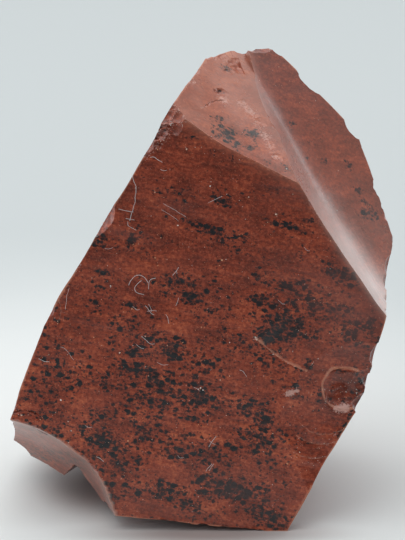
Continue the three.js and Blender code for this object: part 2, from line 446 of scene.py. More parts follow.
def groove_mesh(name, groove, seed):
    """A solid whose under side follows a scar along the path, sinks `depth` below it on the
    path and rises to it again over `left` and `right`. The depth fades out at both ends."""
    middle = groove_line(groove)
    n = scar_axes(SCARS[groove["scar"]])[2]
    side = np.cross(n, np.gradient(middle, axis=0))
    side /= np.linalg.norm(side, axis=1)[:, None]
    share = np.linspace(0, 1, len(middle))
    middle += GROOVE_WANDER * undulation(share * 20, 0, 2.5, seed)[:, None] * side
    fade = np.clip(7 * np.minimum(share, 1 - share), 0, 1)
    fade *= 0.75 + 0.3 * undulation(share * 20, 0, 4, seed + 1)
    reach = GROOVE_SIDES * np.where(GROOVE_SIDES < 0, groove["right"], groove["left"])
    grid = on_scar(groove["scar"], middle[:, None] + reach[:, None] * side[:, None])
    inside = np.clip(1 - np.abs(GROOVE_SIDES), 0, 1) ** 1.5
    sunk = (groove["depth"] + GROOVE_CLEAR) * np.clip(fade, 0, 1.3)[:, None] * inside
    height = GROOVE_CLEAR * (1 + 4 * (np.abs(GROOVE_SIDES) > 1)) - sunk
    return joined_mesh(name, [slab(grid + height[..., None] * n, n * GROOVE_TOP)])


def chip_places(bite, seed):
    """The grid of points on a chip: a paraboloid `depth` below its place that is as high as
    that at `radius`, with a few ripples round its deepest side, and bumps where it is rough."""
    side = np.cross(bite.out, (0.31, 0.25, 0.92))
    side /= np.linalg.norm(side)
    across = np.cross(bite.out, side)
    steps = int(np.clip(2 * CHIP_SPREAD * bite.radius / CHIP_STEP, 8, 44))
    reach = np.linspace(-CHIP_SPREAD, CHIP_SPREAD, steps)
    u, v = np.meshgrid(reach, reach, indexing="ij")
    ripples = 0.03 * np.sin(2 * np.pi * np.hypot(u + 0.7, v) / 0.45)
    bumps = bite.rough * undulation(u, v, 0.9, seed) + ripples
    height = bite.depth * (u**2 + v**2 - 1 + bumps)
    flat = bite.at + bite.radius * (u[..., None] * side + v[..., None] * across)
    return flat + height[..., None] * bite.out


def mesh_table(items, name, width=1, kind=float):
    """A property of a mesh's vertices, edges, loops or faces as an array, one row an item."""
    values = np.empty(len(items) * width, kind)
    items.foreach_get(name, values)
    return values.reshape(-1, width) if width > 1 else values


def arrises(mesh):
    """The middle of every edge that is sharper than ARRIS_ANGLE, its length, and the normals
    of its two faces: the edges of the loops, sorted, pair up the faces beside them."""
    loops = mesh_table(mesh.loops, "edge_index", kind=int)
    sizes = mesh_table(mesh.polygons, "loop_total", kind=int)
    faces = np.repeat(np.arange(len(sizes)), sizes)
    order = np.argsort(loops, kind="stable")
    first, second = faces[order[0::2]], faces[order[1::2]]
    normals = mesh_table(mesh.polygons, "normal", 3)
    turn = (normals[first] * normals[second]).sum(1)
    sharp = turn < np.cos(np.radians(ARRIS_ANGLE))
    ends = mesh_table(mesh.edges, "vertices", 2, int)[sharp]
    ends = mesh_table(mesh.vertices, "co", 3)[ends]
    length = np.linalg.norm(ends[:, 1] - ends[:, 0], axis=1)
    return ends.mean(1), length, normals[first[sharp]], normals[second[sharp]]


def nicks(mesh, count, seed):
    """Small chips at random places on the stone's edges. More fall where an edge is long, each
    leans towards one of its two faces, and those near the front are small."""
    middle, length, one, other = arrises(mesh)
    rng = np.random.default_rng(seed)
    likely = length * nick_share(middle)
    chosen = rng.choice(len(middle), count, p=likely / likely.sum())
    lean = rng.uniform(0.15, 0.85, (count, 1))
    out = one[chosen] * lean + other[chosen] * (1 - lean)
    out += rng.normal(0, 0.12, out.shape)
    out /= np.linalg.norm(out, axis=1)[:, None]
    radius = np.clip(rng.lognormal(np.log(NICK_RADIUS), 0.55, count), *NICK_RADII)
    depth = radius * rng.uniform(0.16, 0.3, count)
    places = middle[chosen]
    small = np.minimum(radius, FRONT_NICK_RADIUS)
    radius = np.where(places[:, 1] < NICK_FRONT, small, radius)
    return [Chip(*nick, NICK_ROUGH, CHIP_GLOW) for nick in zip(places, out, radius, depth)]


def nick_share(places):
    """How likely a chip is at a place: less along the front face's clean upper edges."""
    front = np.abs((places - SCARS["front face"]["at"]) @ direction(0, FRONT_LEAN)) < 0.4
    return np.where(front & (places[:, 2] > 22), 0.3, 1.0)


def batches(chips):
    """The chips in groups whose members keep clear of each other."""
    groups = []
    for new in chips:
        for group in groups:
            if all(
                np.linalg.norm(new.at - old.at) > CLEAR_RADII * (new.radius + old.radius)
                for old in group
            ):
                group.append(new)
                break
        else:
            groups.append([new])
    return groups


def cut(mesh, cutters):
    """What is left of the mesh after the solids are taken out of it, one after another."""
    body = bpy.data.objects.new("body", mesh)
    bpy.context.collection.objects.link(body)
    tools = [bpy.data.objects.new(cutter.name, cutter) for cutter in cutters]
    for tool in tools:
        bpy.context.collection.objects.link(tool)
        bite = body.modifiers.new(tool.name, "BOOLEAN")
        bite.operation = "DIFFERENCE"
        bite.solver = "MANIFOLD"
        bite.object = tool
    bpy.context.view_layer.update()
    graph = bpy.context.evaluated_depsgraph_get()
    left = bpy.data.meshes.new_from_object(body.evaluated_get(graph))
    for thing in [body, *tools]:
        spent = thing.data
        bpy.data.objects.remove(thing)
        bpy.data.meshes.remove(spent)
    return left


def block():
    """The block before any scar is cut: a box from BLOCK_LOW to BLOCK_HIGH."""
    low, high = np.array(BLOCK_LOW), np.array(BLOCK_HIGH)
    x, y = np.meshgrid((low[0], high[0]), (low[1], high[1]), indexing="ij")
    under = np.stack((x, y, np.full_like(x, low[2])), -1)
    return slab(under, np.array((0, 0, high[2] - low[2])))


def largest_body(mesh):
    """Leaves only the mesh's largest connected body: every vertex takes the lowest label of
    its neighbours, and that label's own label, until nothing changes."""
    one, other = mesh_table(mesh.edges, "vertices", 2, int).T
    labels = np.arange(len(mesh.vertices))
    while True:
        least = np.minimum(labels[one], labels[other])
        fresh = labels.copy()
        np.minimum.at(fresh, labels[one], least)
        np.minimum.at(fresh, labels[other], least)
        fresh = np.minimum(fresh, fresh[fresh])
        if (fresh == labels).all():
            break
        labels = fresh
    names, counts = np.unique(labels, return_counts=True)
    stray = np.flatnonzero(labels != names[counts.argmax()])
    shape = bmesh.new()
    shape.from_mesh(mesh)
    shape.verts.ensure_lookup_table()
    bmesh.ops.delete(shape, geom=[shape.verts[k] for k in stray], context="VERTS")
    shape.to_mesh(mesh)
    shape.free()
    return mesh


def stone_mesh():
    """The stone and all its chips: a block less its scars, then less its chips and grooves, in
    millimetres."""
    scars = [joined_mesh(name, [scar_slab(name)]) for name in SCARS]
    blank = cut(joined_mesh("block", [block()]), scars)
    chips = [*CHIPS.values(), *nicks(blank, NICKS, 5)]
    bites = []
    for number, group in enumerate(batches(chips)):
        solids = [
            slab(chip_places(bite, 100 * number + k), bite.out * bite.radius * CHIP_TOP)
            for k, bite in enumerate(group)
        ]
        bites.append(joined_mesh(f"bites {number}", solids))
    bites += [groove_mesh(name, groove, 7 * k) for k, (name, groove) in enumerate(GROOVES.items())]
    return largest_body(cut(blank, bites)), chips


# ------------------------------------------------------------------------------------------
# What varies over the stone, kept in its vertices
# ------------------------------------------------------------------------------------------

# Clouds of black specks on the front face: the middle (x, z), the half length along the flow
# and across it, and how dense the cloud is. The flow dips by FLOW_DIP degrees towards +X.
FLOW_DIP = 12.0
FRONT_CLOUDS = [
    # The sparse top.
    (-1.0, 50.5, 0.5, 0.4, 0.9), (0.1, 49.8, 0.5, 0.3, 0.6), (1.5, 49.0, 0.6, 0.3, 0.8),
    (3.7, 48.0, 0.8, 0.4, 0.8), (2.9, 42.6, 1.5, 0.8, 1.0), (-4.7, 40.6, 0.5, 0.4, 0.8),
    (-1.9, 40.1, 1.1, 0.4, 0.7), (0.9, 38.9, 1.3, 0.6, 0.9), (5.1, 38.0, 2.1, 0.5, 0.6),
    (9.9, 39.9, 2.3, 0.4, 0.7), (13.5, 40.4, 0.6, 0.4, 0.8), (-13.2, 37.8, 1.2, 0.7, 1.0),
    (-9.0, 37.5, 0.5, 0.5, 1.0), (4.1, 36.6, 1.3, 0.4, 0.6), (12.4, 35.9, 0.5, 1.1, 0.6),
    (2.3, 34.8, 0.4, 0.3, 0.8), (-6.6, 35.5, 0.8, 0.3, 0.6),
    # The middle.
    (-12.8, 33.6, 1.0, 0.4, 1.0), (-4.0, 32.7, 1.3, 1.3, 0.5), (7.2, 33.5, 0.8, 0.7, 0.9),
    (17.8, 33.4, 2.4, 1.1, 1.0), (-13.6, 29.6, 1.7, 1.2, 0.5), (-9.0, 29.5, 0.9, 0.5, 0.9),
    (-6.6, 29.0, 1.0, 0.9, 0.5), (-1.5, 30.4, 0.9, 0.7, 0.9), (7.1, 30.3, 2.0, 0.9, 0.6),
    (10.6, 31.9, 2.6, 0.5, 0.4), (9.8, 27.6, 2.5, 2.0, 0.6), (17.8, 28.2, 4.2, 2.0, 0.45),
    (-11.0, 26.5, 1.5, 0.4, 0.6), (-6.5, 25.1, 0.7, 0.4, 0.9), (2.8, 26.8, 0.5, 0.4, 0.8),
    # The dense band from the left to the middle.
    (-3.9, 23.7, 1.4, 1.2, 0.8), (-8.2, 23.3, 1.3, 0.8, 0.6), (-9.6, 21.0, 1.4, 0.8, 1.0),
    (-6.4, 20.3, 2.2, 1.3, 0.7), (-4.6, 18.3, 2.4, 0.7, 0.6), (-0.3, 17.4, 0.7, 1.2, 1.0),
    (1.2, 21.9, 1.1, 0.7, 0.6), (8.6, 25.3, 1.4, 0.9, 1.0), (11.6, 26.3, 2.0, 1.0, 0.8),
    (13.8, 29.6, 2.2, 1.0, 0.6), (20.6, 26.2, 1.8, 1.8, 0.2), (13.0, 32.6, 1.4, 0.6, 0.5),
    (13.6, 21.8, 0.5, 0.8, 0.9), (-7.0, 17.2, 2.2, 0.5, 0.7), (-0.6, 14.7, 2.8, 0.3, 0.9),
    (-18.5, 21.0, 1.8, 1.0, 0.3), (-20.5, 19.0, 2.0, 1.3, 0.3),
    # The lower part.
    (-13.0, 15.3, 1.7, 0.9, 0.6), (5.6, 15.9, 1.0, 0.9, 0.8), (7.9, 14.4, 1.3, 1.1, 1.0),
    (6.3, 12.7, 2.0, 0.7, 0.8), (-13.7, 11.9, 1.4, 1.4, 0.8), (-7.7, 13.1, 0.9, 0.5, 0.9),
    (-2.3, 12.6, 0.6, 0.3, 0.9), (-11.0, 10.8, 1.3, 1.2, 0.5), (-2.8, 9.9, 0.8, 0.7, 0.8),
    (3.2, 9.1, 0.6, 0.5, 0.8), (7.6, 10.2, 1.2, 0.9, 0.6), (-4.6, 6.0, 1.6, 1.4, 0.4),
    (0.2, 6.9, 1.3, 0.7, 0.6), (4.2, 5.3, 3.2, 0.9, 0.7), (-1.9, 3.4, 1.2, 0.6, 0.7),
    (7.9, 2.2, 2.1, 0.8, 0.8), (-10.8, 8.5, 0.8, 0.3, 0.8),
    # The chip and the flake at the right.
    (17.6, 20.6, 0.7, 0.5, 1.0), (17.0, 18.0, 0.4, 0.3, 0.8), (15.1, 17.8, 0.4, 1.0, 0.8),
    (14.5, 15.8, 0.6, 0.3, 0.8), (12.1, 18.9, 0.5, 0.3, 0.8), (19.0, 14.8, 0.3, 0.6, 1.0),
]
# Where there are fewer specks, in the same way.
FRONT_BARE = [
    (18.2, 18.4, 3.0, 2.6, 0.60), (13.6, 13.5, 4.5, 5.0, 0.30), (5.5, 19.5, 3.0, 1.6, 0.30),
    (14.5, 23.5, 3.5, 1.4, 0.25), (-13.5, 17.8, 2.0, 1.0, 0.20), (-5.5, 2.8, 5.0, 1.0, 0.30),
    (11.5, 34.0, 6.0, 1.2, 0.20), (-17.0, 32.0, 3.5, 3.5, 0.15), (14.0, 4.0, 2.5, 6.0, 0.30),
    (-19.0, 16.0, 4.0, 1.6, 0.15),
]
# Where the front face is painted with a grey haze that stands for its sheen, in the same way.
FRONT_PAINTED_HAZE = [
    (19.5, 28.5, 5.0, 5.5, 1.0), (13.0, 32.0, 5.0, 3.0, 0.5), (-10.0, 38.6, 3.5, 0.8, 0.6),
    (-3.0, 41.8, 3.0, 0.7, 0.3), (4.5, 5.0, 5.0, 1.8, 0.4), (14.5, 12.6, 2.4, 0.6, 0.7),
    (-3.5, 2.6, 7.0, 0.8, 0.4), (11.0, 44.0, 4.0, 1.2, 0.3), (6.0, 20.0, 3.5, 2.0, 0.2),
    (-14.0, 27.0, 4.0, 0.5, 0.4),
]

# Round clouds of specks on the top face and in the trough: the middle, the radius and how dense
# they are.
TOP_SPECKS = [
    (2.1, -5.2, 52, 0.77, 1.08), (3.2, -4.3, 51.9, 0.77, 1.08), (3, -7.6, 50.6, 1.94, 1.25),
    (1, -5.9, 52.3, 0.59, 0.94), (6, -5.5, 50.1, 1.01, 1.22), (7.1, -5, 49.8, 0.77, 1.08),
    (6.1, -8.3, 48.8, 0.68, 1.22), (6.9, -7.1, 49, 1.01, 1.22), (8.2, -9.6, 47.2, 0.85, 1.22),
    (10.5, -9.4, 46.4, 0.77, 1.22), (3.2, 5.2, 55.6, 1.01, 0.94), (4.6, -9.3, 49.3, 1.01, 1.08),
]
TROUGH_SPECKS = [
    (7.8, 8.8, 54.1, 1.04, 1.2), (6.7, 8.2, 54.3, 0.65, 1.2), (11, 5.7, 49.6, 0.86, 1.2),
    (13.1, 7.2, 49.3, 0.65, 1.2), (15.6, 4.8, 45.6, 0.86, 1.2), (13.4, 1, 44.3, 0.65, 1.2),
    (15.9, 2.4, 43.3, 0.75, 1.2), (19.4, 4.1, 42.3, 0.86, 1.2), (20.5, 2, 39.5, 1.06, 0.85),
    (21.2, 0.1, 37.2, 0.75, 0.85), (22.6, 0.7, 36.7, 1.36, 0.85), (21.9, 1.6, 38.6, 0.9, 0.85),
    (9.4, 7.6, 52.3, 0.7, 0.8), (11.9, 3.6, 48.6, 0.8, 0.8), (14.4, 3.2, 45.9, 0.7, 0.9),
    (17.6, 3.0, 42.2, 0.7, 0.9), (17.2, -0.4, 40.6, 0.6, 0.8), (18.6, 4.6, 43.2, 0.8, 0.8),
]
# Painted shade inside the right chip: where its inside is painted darker, in the same way.
PAINTED_CHIP_SHADE = [(18.2, -14.8, 18.9, 1.6, 0.09), (19.6, -14.6, 18.6, 1.2, 0.05)]
# Powdered places: the middle, the radius and how much powder.
POWDER = [
    (10.9, -15.6, 18.0, 0.42, 1.5), (11.5, -15.55, 18.15, 0.4, 1.5),
    (12.2, -15.5, 18.35, 0.35, 1.4), (17.3, -15.4, 15.75, 0.45, 1.3),
    (18.5, -15.3, 15.75, 0.5, 1.3), (6.8, -14.4, 25.2, 0.3, 1.0), (17.2, -16.0, 12.5, 0.35, 0.9),
    (18.2, -15.3, 16.0, 0.9, 0.9), (16.6, -15.2, 16.5, 0.6, 0.6), (15.7, -15.1, 18.2, 0.45, 0.8),
    (2.8, -1.4, 53.4, 0.9, 1.19), (5.1, -0.6, 52.6, 0.9, 0.85), (6.2, -1.6, 51.7, 1, 1.02),
    (7.2, -3.2, 50.6, 0.9, 0.85), (8, -4.9, 49.5, 1, 1.02), (8.7, -6.5, 48.5, 0.9, 0.85),
    (9.4, -7.9, 47.5, 0.8, 1.02), (3.0, 6.6, 56.3, 1.0, 0.3), (9.4, -11.6, 41.0, 0.35, 0.8),
]
# How pale an edge is, as wear and painted highlight, fades out over these lengths, on a scar,
# on a chip and on a groove.
SCAR_GLOW_REACH = 0.16
CHIP_GLOW_REACH = 0.1
GROOVE_GLOW_REACH = 0.16
GROOVE_GLOW = 0.6
# No place on a groove is further than this from its middle.
GROOVE_EXTENT = 8.0


def scar_faces(places):
    """How far each place lies outside every scar, one column a scar: 0 on the scar itself and
    below 0 inside the stone."""
    columns = []
    for scar in SCARS.values():
        u, v, out = on_axes(scar, places)
        outside = out - scar_height(scar, u, v)
        for axis, (low, high) in scar.get("stops", {}).items():
            run = u if axis == "u" else v
            outside = np.minimum(outside, np.minimum(run - low, high - run))
        columns.append(outside)
    return np.stack(columns, 1)


def off_scar(outside, name):
    """How far each place lies outside one scar."""
    return outside[:, list(SCARS).index(name)]


def near_scar(outside, name, reach):
    """1 on a scar, fading to 0 off it: e to the minus distance over reach."""
    return np.exp(-np.abs(off_scar(outside, name)) / reach)


def edge_wear_and_highlight(outside, places, chips):
    """How pale each place is, as pale wear and a painted edge highlight: most on a sharp edge,
    fading to 0 within about a millimetre. How far a place is off the second nearest scar is how
    far off its edge is. A chip's edge is where the ball that it is part of meets the stone's
    surface, and a groove's is its path."""
    rows = np.arange(len(places))
    order = np.argsort(outside, 1)
    first, second = order[:, -1], order[:, -2]
    normals = np.array([direction(*scar["faces"]) for scar in SCARS.values()])
    turn = (normals[first] * normals[second]).sum(1)
    glow = np.exp(-np.abs(outside[rows, second]) / SCAR_GLOW_REACH) * np.clip(1.15 - turn, 0, 1)
    top = outside[rows, first]
    for bite in chips:
        ball = (bite.radius**2 + bite.depth**2) / (2 * bite.depth)
        middle = bite.at + bite.out * (ball - bite.depth)
        gap = ball - np.linalg.norm(places - middle, axis=1)
        near = np.where(gap > top, -top, -gap)
        glow = np.maximum(glow, bite.glow * np.exp(-np.abs(near) / CHIP_GLOW_REACH))
    for groove in GROOVES.values():
        line = on_scar(groove["scar"], groove_line(groove))
        close = np.flatnonzero(np.linalg.norm(places - line.mean(0), axis=1) < GROOVE_EXTENT)
        far = np.linalg.norm(places[close, None] - line, axis=2).min(1)
        spread = groove.get("spread", GROOVE_GLOW_REACH)
        lit = groove.get("glow", GROOVE_GLOW) * np.exp(-((far / spread) ** 2))
        glow[close] = np.maximum(glow[close], lit)
    return glow


def smooth_rise(values, low, high):
    """0 below low, 1 above high, and 3t^2 - 2t^3 between, where t goes from 0 to 1."""
    t = np.clip((values - low) / (high - low), 0, 1)
    return t * t * (3 - 2 * t)


def along_flow(places):
    """How far each place is along the flow's lines in the plane of x and z, and across them."""
    dip = np.radians(FLOW_DIP)
    x, z = places[..., 0], places[..., -1]
    return x * np.cos(dip) - z * np.sin(dip), x * np.sin(dip) + z * np.cos(dip)


def clouds(places, table):
    """The sum of the clouds at each place: each is a bell over its slanting ellipse."""
    total = np.zeros(len(places))
    for x, z, length, breadth, density in table:
        run, rise = along_flow(places[:, (0, 2)] - (x, z))
        total += density * np.exp(-((run / length) ** 2) - (rise / breadth) ** 2)
    return total


def dots(places, table):
    """The sum of the round clouds at each place: each is a bell round its middle."""
    total = np.zeros(len(places))
    for x, y, z, radius, density in table:
        far = np.linalg.norm(places - (x, y, z), axis=1)
        total += density * np.exp(-((far / radius) ** 2))
    return total


def painted_bloom(places, outside):
    """Painted sheen, the pale silky bloom that stands for reflections: low in the trough and
    strongest on its near wall, over the scoop, where it is strongest near the front face, and
    faintly over the face at the top."""
    trough = SCARS["long trough"]
    u, v, _ = on_axes(trough, places)
    across = v + trough["trough"]["bend"] * u**2 / 2
    low = 1 - np.clip((places[:, 2] - 35) / 9, 0, 0.88)
    wall = near_scar(outside, "long trough", 0.3) * low
    wall *= 0.2 + 0.75 * smooth_rise(across, -4.0, 2.5)
    top = 0.13 * near_scar(outside, "sloping top face", 0.3)
    scoop = off_scar(outside, "scoop under the left corner") > -0.15
    rim = np.exp(np.minimum(off_scar(outside, "front face"), 0) / 6)
    return np.maximum(wall, top) + scoop * (0.45 + 0.5 * rim)


# ------------------------------------------------------------------------------------------
# Finishes
# ------------------------------------------------------------------------------------------


def arithmetic(operation, turned_round=False):
    """A method of Wire that adds a Math node for this operation."""
    def method(self, other):
        pair = (other, self) if turned_round else (self, other)
        values = dict(zip(("Value", "Value_001"), pair))
        return self.finish.node("ShaderNodeMath", {"operation": operation}, values)

    return method


class Wire:
    """One output of a finish's nodes. Arithmetic on it adds Math nodes."""

    def __init__(self, finish, socket):
        self.finish = finish
        self.socket = socket

    __add__ = __radd__ = arithmetic("ADD")
    __sub__ = arithmetic("SUBTRACT")
    __rsub__ = arithmetic("SUBTRACT", turned_round=True)
    __mul__ = __rmul__ = arithmetic("MULTIPLY")
    most = arithmetic("MAXIMUM")
    least = arithmetic("MINIMUM")

    def __neg__(self):
        return self * -1.0


class Finish:
    """A material or a world, made by adding nodes to it."""

    def __init__(self, owner):
        self.owner = owner
        owner.use_nodes = True
        self.nodes = owner.node_tree.nodes
        self.links = owner.node_tree.links
        self.nodes.clear()

    def node(self, kind, settings, values, output=None):
        """Adds a node, sets it, then gives its sockets their values or links. Sockets go by
        their identifiers. Returns one output, the first that is in use unless one is named."""
        made = self.nodes.new(kind)
        for key, value in settings.items():
            if key == "stops":
                ramp = made.color_ramp.elements
                while len(ramp) > 1:
                    ramp.remove(ramp[0])
                for number, (place, colour) in enumerate(value):
                    stop = ramp.new(place) if number else ramp[0]
                    stop.position = place
                    stop.color = (*colour, 1)
            else:
                setattr(made, key, value)
        sockets = {socket.identifier: socket for socket in made.inputs}
        for key, value in values.items():
            if isinstance(value, Wire):
                self.links.new(value.socket, sockets[key])
            elif sockets[key].type == "RGBA" and len(value) == 3:
                sockets[key].default_value = (*value, 1)
            else:
                sockets[key].default_value = value
        outputs = [socket for socket in made.outputs if socket.enabled]
        named = [socket for socket in outputs if socket.identifier == output]
        return Wire(self, (named or outputs)[0]) if outputs else None

    def vector(self, operation, values, output=None):
        """A Vector Math node for this operation."""
        return self.node("ShaderNodeVectorMath", {"operation": operation}, values, output)

    def place(self):
        """The place on the object, in millimetres."""
        place = self.node("ShaderNodeTexCoord", {}, {}, "Object")
        return self.vector("SCALE", {"Vector": place, "Scale": 1000.0})

    def kept(self, name):
        """A number kept in the mesh's vertices."""
        settings = {"attribute_type": "GEOMETRY", "attribute_name": name}
        return self.node("ShaderNodeAttribute", settings, {}, "Fac")

    def turned(self, place, turn, stretch, middle=(0, 0, 0)):
        """The place in a frame round a middle that is turned and then stretched."""
        settings = {"vector_type": "TEXTURE"}
        values = {"Vector": place, "Location": middle, "Rotation": turn, "Scale": stretch}
        return self.node("ShaderNodeMapping", settings, values)

    def distance(self, place, middle, radii=(1, 1, 1)):
        """How far the place is from a middle, in radii."""
        off = self.turned(place, (0, 0, 0), radii, middle)
        return self.vector("LENGTH", {"Vector": off}, "Value")

    def noise(self, place, size, detail=2.0, roughness=0.5, output="Fac"):
        """Noise from 0 to 1 whose lumps are about `size` millimetres across."""
        values = {"Vector": place, "Scale": 1 / size, "Detail": detail, "Roughness": roughness}
        return self.node("ShaderNodeTexNoise", {}, values, output)

    def shaken(self, place, size, reach):
        """The place moved at random by up to about `reach`, in lumps of `size`."""
        colour = self.noise(place, size, 1.0, output="Color")
        centred = self.vector("SUBTRACT", {"Vector": colour, "Vector_001": (0.5, 0.5, 0.5)})
        moved = self.vector("SCALE", {"Vector": centred, "Scale": reach * 2})
        return self.vector("ADD", {"Vector": place, "Vector_001": moved})

    def rise(self, value, low, high):
        """0 below `low`, 1 above `high`, smooth between."""
        settings = {"interpolation_type": "SMOOTHSTEP"}
        return self.node(
            "ShaderNodeMapRange", settings, {"Value": value, "From Min": low, "From Max": high}
        )

    def mixed(self, share, one, other):
        """One colour, or the other by the share."""
        values = {"Factor_Float": share, "A_Color": one, "B_Color": other}
        return self.node("ShaderNodeMix", {"data_type": "RGBA"}, values, "Result_Color")

    def bumped(self, height, distance, normal=None):
        """A normal from a height, where a height of 1 stands `distance` millimetres proud."""
        values = {"Height": height, "Distance": distance * MM, "Strength": 1.0}
        if normal:
            values["Normal"] = normal
        return self.node("ShaderNodeBump", {}, values)

    def principled(self, values):
        """The finished shader, on the material's output."""
        surface = self.node("ShaderNodeBsdfPrincipled", {}, values)
        self.node("ShaderNodeOutputMaterial", {}, {"Surface": surface})
        return self.owner


# How sharply a speck's size answers to the density.
SPECK_GAIN = 6.0


def speck_layer(finish, place, cell, size, density, soft):
    """Round specks, one to a cell of about `cell` millimetres. A cell has a speck where the
    density beats the cell's own random number."""
    values = {"Vector": place, "Scale": 1 / cell, "Randomness": 1.0}
    kinds = {"voronoi_dimensions": "3D", "feature": "F1"}
    far = finish.node("ShaderNodeTexVoronoi", kinds, values, "Distance")
    colour = finish.node("ShaderNodeTexVoronoi", kinds, values, "Color")
    chance = finish.node("ShaderNodeSeparateColor", {}, {"Color": colour}, "Red")
    room = ((density - chance) * SPECK_GAIN).least(1.0) * size
    return finish.rise(room - far, -soft, soft)


# The glass from its darkest to its brightest, what lies in it or on it, and the colours of the
# painted grey haze, of the pale worn edges with their painted highlight and of the painted
# silver sheen.
GLASS_STOPS = [
    (0.34, (0.110, 0.020, 0.011)), (0.45, (0.208, 0.037, 0.019)),
    (0.54, (0.330, 0.061, 0.029)), (0.66, (0.540, 0.130, 0.056)),
]
SAND = (0.56, 0.19, 0.10)
TAN = (0.365, 0.135, 0.085)
BLACK_SPECK = (0.005, 0.007, 0.009)
BROWN_SPECK = (0.024, 0.020, 0.021)
PAINTED_HAZE_GREY = (0.190, 0.088, 0.078)
EDGE_WEAR_AND_HIGHLIGHT_COLOUR = (0.64, 0.26, 0.16)
PAINTED_BLOOM_SILVER = (0.46, 0.32, 0.27)
PALE_POWDER = (0.70, 0.42, 0.36)
# The turn of a frame whose X runs along the trough, and how much the silk is drawn out along it.
TROUGH_TURN = (0, np.radians(-51.3), np.radians(149.3))
SILK_STRETCH = (9.0, 1.0, 1.0)
# How the mottling and the bands are drawn out along the flow.
FLOW_STRETCH = (1.25, 1.15, 1.0)
BAND_STRETCH = (7.0, 4.0, 1.0)


def red_glass(finish, flow, mottle, streaks):
    """The glass's colour: a ramp along a fine mottling, patches, bands along the flow and the
    stone's tone, which holds painted shade inside the right chip, with sandy dots and a tan veil
    over it."""
    patches = finish.noise(flow, 3.4)
    tone_and_painted_shade = mottle * 0.55 + patches * 0.3 + streaks * 0.3 - 0.075 + finish.kept("tone_and_painted_shade")
    glass = finish.node("ShaderNodeValToRGB", {"stops": GLASS_STOPS}, {"Fac": tone_and_painted_shade})
    sand = finish.rise(finish.noise(flow, 0.17, 2.0, 0.6), 0.56, 0.74)
    glass = finish.mixed(sand * 0.45, glass, SAND)
    return finish.mixed(finish.kept("tan"), glass, TAN)


def black_specks(finish, flow):
    """Where there is a speck: specks in three sizes, whose outlines are ragged and which stand
    in clumps where the stone's density of specks is high."""
    ragged = finish.shaken(finish.shaken(flow, 0.45, 0.20), 0.15, 0.10)
    clumps = finish.kept("specks") * (0.55 + finish.noise(flow, 1.1, 2.0, 0.6) * 0.9)
    large = speck_layer(finish, ragged, 0.68, 0.60, clumps * 0.85 - 0.14, 0.16)
    medium = speck_layer(finish, ragged, 0.42, 0.6, clumps * 0.9 - 0.08, 0.2)
    small = speck_layer(finish, ragged, 0.24, 0.55, clumps * 0.7 + 0.04, 0.24)
    return large.most(medium * 0.95).most(small * 0.8)


def obsidian():
    """Red-brown glass with black specks. Over it come a painted grey haze of sheen, pale worn
    edges with a painted highlight, a painted silver sheen (bloom) that is combed along the trough,
    and powder. The gloss is satin, and the bloom has a rough coat."""
    finish = Finish(bpy.data.materials.new("obsidian"))
    place = finish.place()
    painted_haze, painted_bloom_share = finish.kept("painted_haze"), finish.kept("painted_bloom")
    dip = (0, np.radians(FLOW_DIP), 0)
    flow = finish.turned(place, dip, FLOW_STRETCH)
    bands = finish.turned(place, dip, BAND_STRETCH)
    mottle = finish.noise(flow, 0.36, 3.0, 0.65)
    streaks = finish.noise(bands, 0.7, 3.0, 0.6)

    speck_colour = finish.mixed(mottle, BLACK_SPECK, BROWN_SPECK)
    glass = red_glass(finish, flow, mottle, streaks)
    colour = finish.mixed(black_specks(finish, flow), glass, speck_colour)
    # Painted sheen: a grey haze over the glass stands for its grey reflection.
    veil = finish.noise(bands, 1.2, 3.0, 0.6)
    colour = finish.mixed(painted_haze * (0.15 + veil * 0.5), colour, PAINTED_HAZE_GREY)
    crumbs = finish.noise(place, 0.25, 3.0, 0.7)
    # Pale worn edges, with a painted highlight along them.
    wear_and_highlight = finish.rise(finish.kept("edge") * (0.45 + crumbs), 0.32, 0.85)
    colour = finish.mixed(wear_and_highlight * 0.7, colour, EDGE_WEAR_AND_HIGHLIGHT_COLOUR)
    silk = finish.noise(finish.turned(place, TROUGH_TURN, SILK_STRETCH), 0.4, 3.0, 0.6)
    # Painted sheen: the silver bloom lightens the colour where the surface shines.
    colour = finish.mixed(painted_bloom_share * (0.18 + silk * 0.42), colour, PAINTED_BLOOM_SILVER)
    powder = finish.rise(finish.kept("crushed") * 0.6 + (crumbs - 0.5) * 1.8, 0.3, 0.75)
    colour = finish.mixed(powder * 0.75, colour, PALE_POWDER)

    satin = finish.noise(place, 1.1, 3.0, 0.6)
    roughness = 0.17 + satin * 0.14 + painted_haze * 0.12 + wear_and_highlight * 0.2 + powder * 0.3 + painted_bloom_share * 0.15
    grain = finish.bumped(finish.noise(place, 0.22, 3.0, 0.6), 0.012)
    drawn = finish.bumped(streaks, 0.03, grain)
    return finish.principled({
        "Base Color": colour, "Roughness": roughness, "IOR": 1.5,
        "Normal": finish.bumped(silk * painted_bloom_share, 0.05, drawn),
        "Coat Weight": painted_bloom_share * 0.8, "Coat Roughness": 0.42, "Coat IOR": 1.8,
    })


GREY_COTTON = (0.58, 0.52, 0.52)
WHITE_COTTON = (0.88, 0.84, 0.83)
WHITE_DUST = (0.80, 0.74, 0.68)
ORANGE_DUST = (0.70, 0.34, 0.18)


def lint():
    """Pale cotton fibres: off-white with a slight mottling along their length."""
    finish = Finish(bpy.data.materials.new("lint"))
    mottle = finish.noise(finish.place(), 0.3)
    colour = finish.mixed(mottle, GREY_COTTON, WHITE_COTTON)
    return finish.principled({"Base Color": colour, "Roughness": mottle * 0.2 + 0.6})


